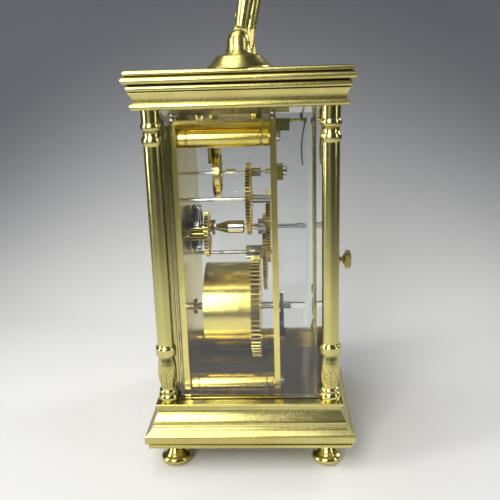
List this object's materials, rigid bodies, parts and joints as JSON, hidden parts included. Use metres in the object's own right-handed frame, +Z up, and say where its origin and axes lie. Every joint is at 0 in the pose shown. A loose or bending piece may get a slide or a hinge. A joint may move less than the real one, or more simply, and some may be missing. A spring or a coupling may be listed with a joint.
{
  "type": "carriage clock",
  "caption": "Glazed brass carriage clock on bun feet, with turned corner columns, a bail handle, a hinged glass back door and a spring-driven movement with a platform escapement.",
  "frame": {"origin": "centre of the case's footprint, on the plane that the four feet stand on", "axes": "+Z up, the dial faces -Y and the hinged door faces +Y, +X is the right-hand side of someone who looks at the dial"},
  "size_m": [0.0926, 0.0836, 0.2019],
  "materials": {
    "brass": "polished and lacquered",
    "gilt": "fine-grained, lacquered",
    "steel": "polished",
    "blued_steel": "heat-blued",
    "glass": "clear, bevelled",
    "enamel": "white enamel, glossy"
  },
  "bodies": {
    "case": {"base_moulding": "brass", "base_plate": "brass", "feet": "brass", "column_front_left": "brass", "column_front_right": "brass", "column_rear_left": "brass", "column_rear_right": "brass", "cornice": "brass", "top_glass": "glass", "front_glass": "glass", "left_glass": "glass", "right_glass": "glass", "handle_boss_left": "brass", "handle_boss_right": "brass", "front_plate": "gilt", "back_plate": "gilt", "pillars": "gilt", "pillar_screws": "steel", "movement_screws": "steel", "dial_plate": "brass", "dial": "enamel", "minute_stud": "steel", "click_screw": "blued_steel", "click_spring": "blued_steel", "hairspring": "blued_steel", "platform": "gilt", "platform_cocks": "brass", "platform_screws": "steel", "catch_spring": "brass"},
    "handle": {"handle": "brass", "handle_pins": "steel"},
    "door": {"door_frame": "brass", "door_glass": "glass", "door_knob": "brass", "door_pins": "steel"},
    "centre": {"centre_arbor": "steel", "centre_wheel": "gilt", "friction_sleeve": "steel", "cannon_pinion": "steel", "minute_hand": "blued_steel"},
    "barrel": {"barrel": "gilt", "barrel_cap": "gilt", "great_wheel": "gilt", "mainspring": "steel"},
    "winding": {"winding_arbor": "steel", "ratchet_wheel": "steel"},
    "click": {"click": "steel"},
    "intermediate": {"intermediate_arbor": "steel", "intermediate_wheel": "gilt"},
    "third": {"third_arbor": "steel", "third_wheel": "gilt"},
    "contrate": {"contrate_arbor": "steel", "contrate_wheel": "gilt"},
    "minute_motion": {"minute_wheel": "gilt"},
    "hour": {"hour_wheel": "steel", "hour_hand": "blued_steel"},
    "escape": {"escape_arbor": "steel", "escape_wheel": "gilt"},
    "lever": {"lever": "steel"},
    "balance": {"balance_wheel": "brass"}
  },
  "joints": [
    {"name": "handle_swing", "type": "hinge", "parent": "case", "child": "handle", "pos_m": [0, 0, 0.1652], "axis": [1, 0, 0], "range_deg": [-79, 101]},
    {"name": "door_swing", "type": "hinge", "parent": "case", "child": "door", "pos_m": [-0.0304, 0.0326, 0.0862], "axis": [0, 0, 1], "range_deg": [0, 110]},
    {"name": "centre_turn", "type": "hinge", "parent": "case", "child": "centre", "pos_m": [0, 0, 0.0913], "axis": [0, 1, 0], "continuous": true},
    {"name": "barrel_turn", "type": "hinge", "parent": "case", "child": "barrel", "pos_m": [0, 0, 0.0552], "axis": [0, 1, 0], "continuous": true},
    {"name": "winding_turn", "type": "hinge", "parent": "case", "child": "winding", "pos_m": [0, 0, 0.0552], "axis": [0, 1, 0], "continuous": true},
    {"name": "click_rock", "type": "hinge", "parent": "case", "child": "click", "pos_m": [0.0095, 0, 0.0467], "axis": [0, 1, 0], "range_deg": [-12, 0]},
    {"name": "intermediate_turn", "type": "hinge", "parent": "case", "child": "intermediate", "pos_m": [-0.01315, 0, 0.07627], "axis": [0, 1, 0], "continuous": true},
    {"name": "third_turn", "type": "hinge", "parent": "case", "child": "third", "pos_m": [0.0095, 0, 0.10528], "axis": [0, 1, 0], "continuous": true},
    {"name": "contrate_turn", "type": "hinge", "parent": "case", "child": "contrate", "pos_m": [-0.00395, 0, 0.11431], "axis": [0, 1, 0], "continuous": true},
    {"name": "minute_motion_turn", "type": "hinge", "parent": "case", "child": "minute_motion", "pos_m": [0.012, 0, 0.0913], "axis": [0, 1, 0], "continuous": true},
    {"name": "hour_turn", "type": "hinge", "parent": "case", "child": "hour", "pos_m": [0, 0, 0.0913], "axis": [0, 1, 0], "continuous": true},
    {"name": "escape_turn", "type": "hinge", "parent": "case", "child": "escape", "pos_m": [-0.00395, -0.01508, 0.1282], "axis": [0, 0, 1], "continuous": true},
    {"name": "lever_rock", "type": "hinge", "parent": "case", "child": "lever", "pos_m": [-0.00034, -0.01029, 0.1402], "axis": [0, 0, 1], "range_deg": [-5, 5]},
    {"name": "balance_swing", "type": "hinge", "parent": "case", "child": "balance", "pos_m": [0.00508, -0.0031, 0.1437], "axis": [0, 0, 1], "range_deg": [-270, 270], "stiffness_Nm_per_rad": 0.000008}
  ],
  "couplings": [
    {"joint": "intermediate_turn", "follows": "centre_turn", "ratio": -0.18182},
    {"joint": "barrel_turn", "follows": "centre_turn", "ratio": 0.022727},
    {"joint": "third_turn", "follows": "centre_turn", "ratio": -9},
    {"joint": "contrate_turn", "follows": "centre_turn", "ratio": 72},
    {"joint": "minute_motion_turn", "follows": "centre_turn", "ratio": -0.33333},
    {"joint": "hour_turn", "follows": "centre_turn", "ratio": 0.083333},
    {"joint": "escape_turn", "follows": "centre_turn", "ratio": -600}
  ]
}
